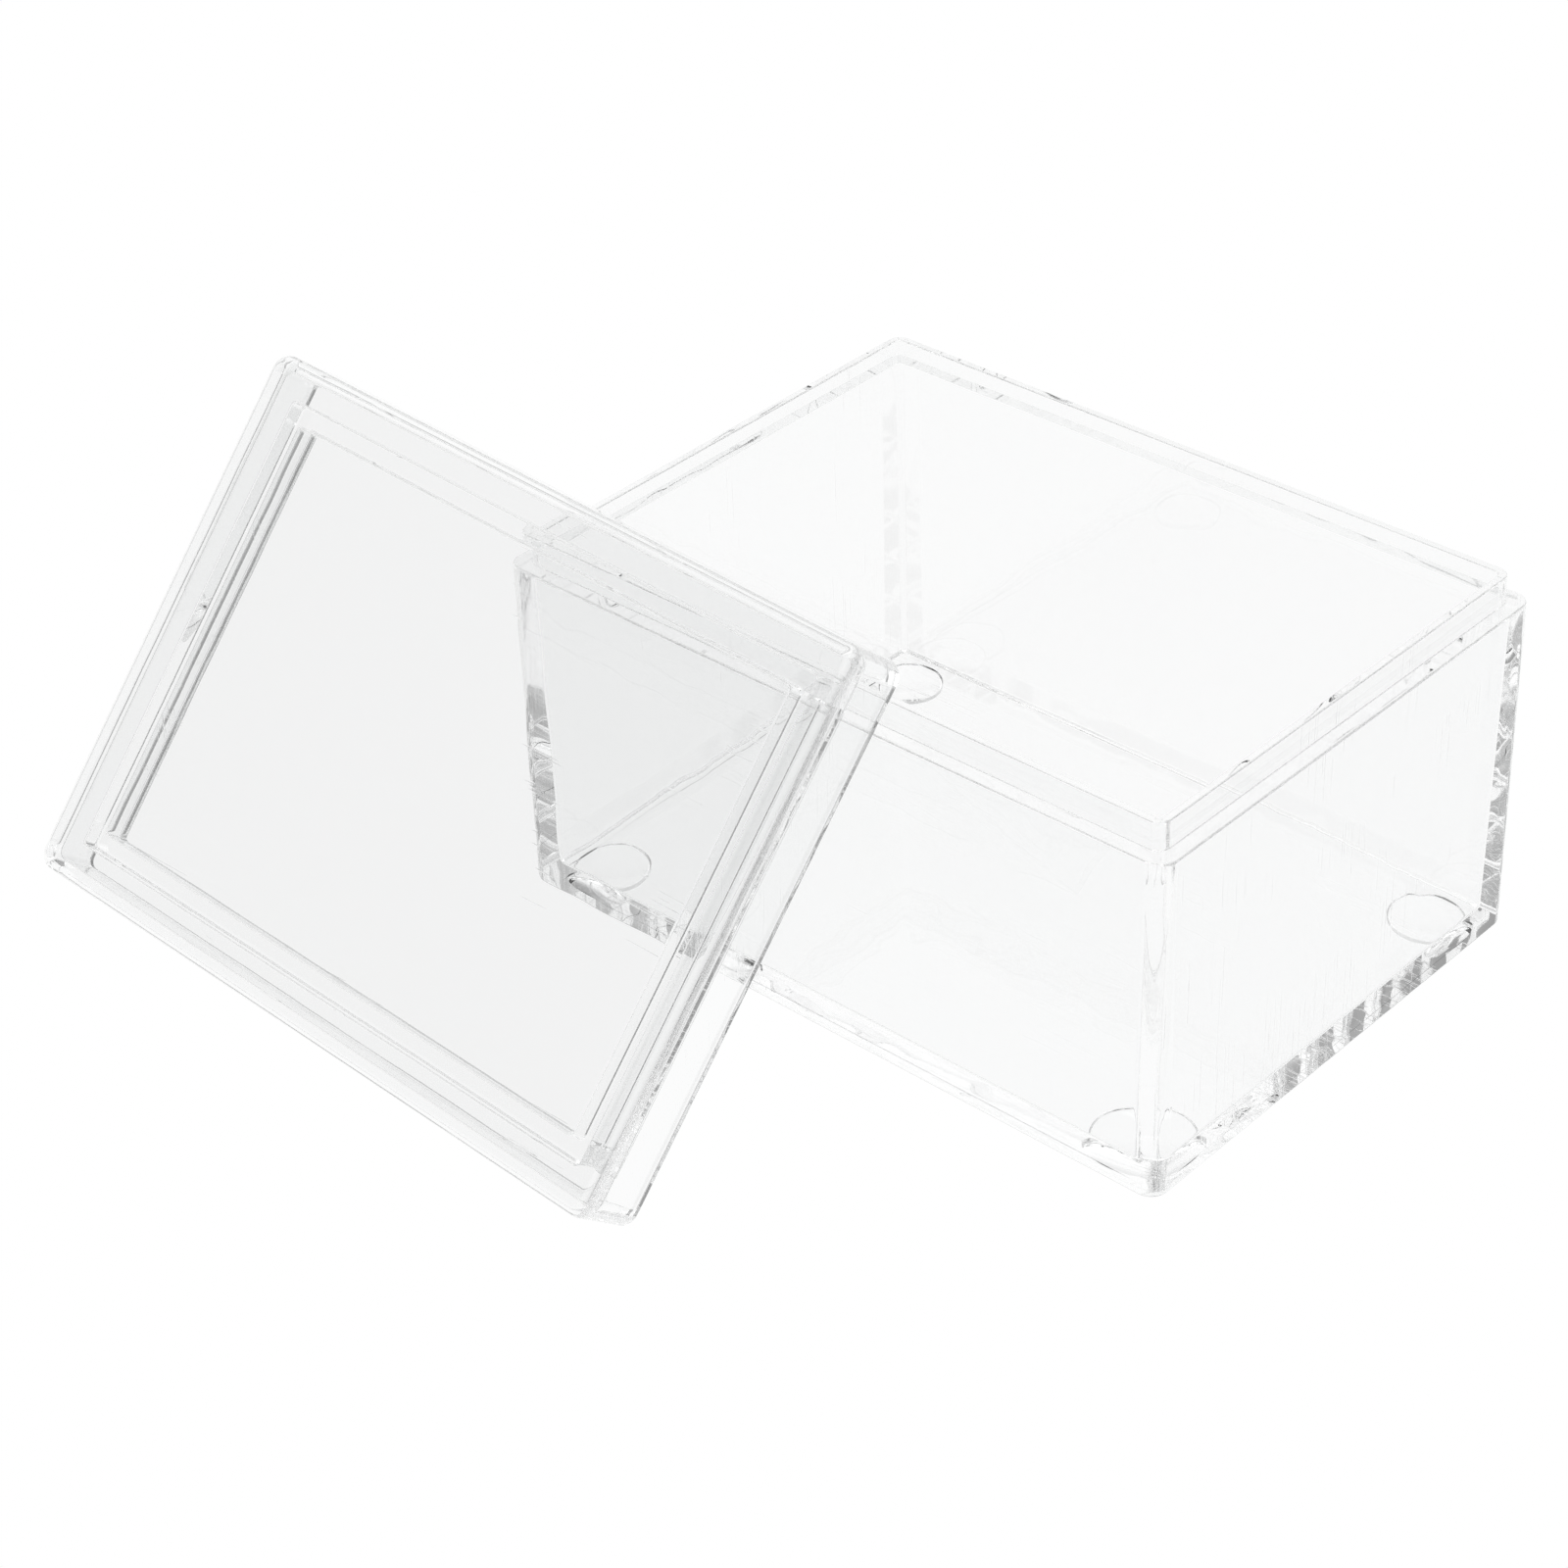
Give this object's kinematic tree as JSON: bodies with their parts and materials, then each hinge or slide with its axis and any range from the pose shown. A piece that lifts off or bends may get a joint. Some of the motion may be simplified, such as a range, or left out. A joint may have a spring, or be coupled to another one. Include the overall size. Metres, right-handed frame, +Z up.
{
  "type": "card deck box",
  "caption": "Clear plastic card deck box with moulded feet and a stepped lip, its lift-off lid leaning panel outwards against one long side.",
  "frame": {"origin": "centre of the box's underside, on the outer face of its floor; the moulded feet stand 0.8 mm below it", "axes": "+Z up out of the box's mouth, +X along the box's long side, -Y towards the leaning lid"},
  "size_m": [0.1431, 0.1207, 0.0639],
  "materials": {
    "box_plastic": "clear polystyrene, polished",
    "lid_plastic": "clear polystyrene, polished"
  },
  "bodies": {
    "box": {"box_base": "box_plastic"},
    "lid": {"lid": "lid_plastic"}
  },
  "joints": [
    {"name": "lid_lift", "type": "slide", "parent": "box", "child": "lid", "axis": [0, 0, 1], "range_m": [0, 0.12]}
  ]
}
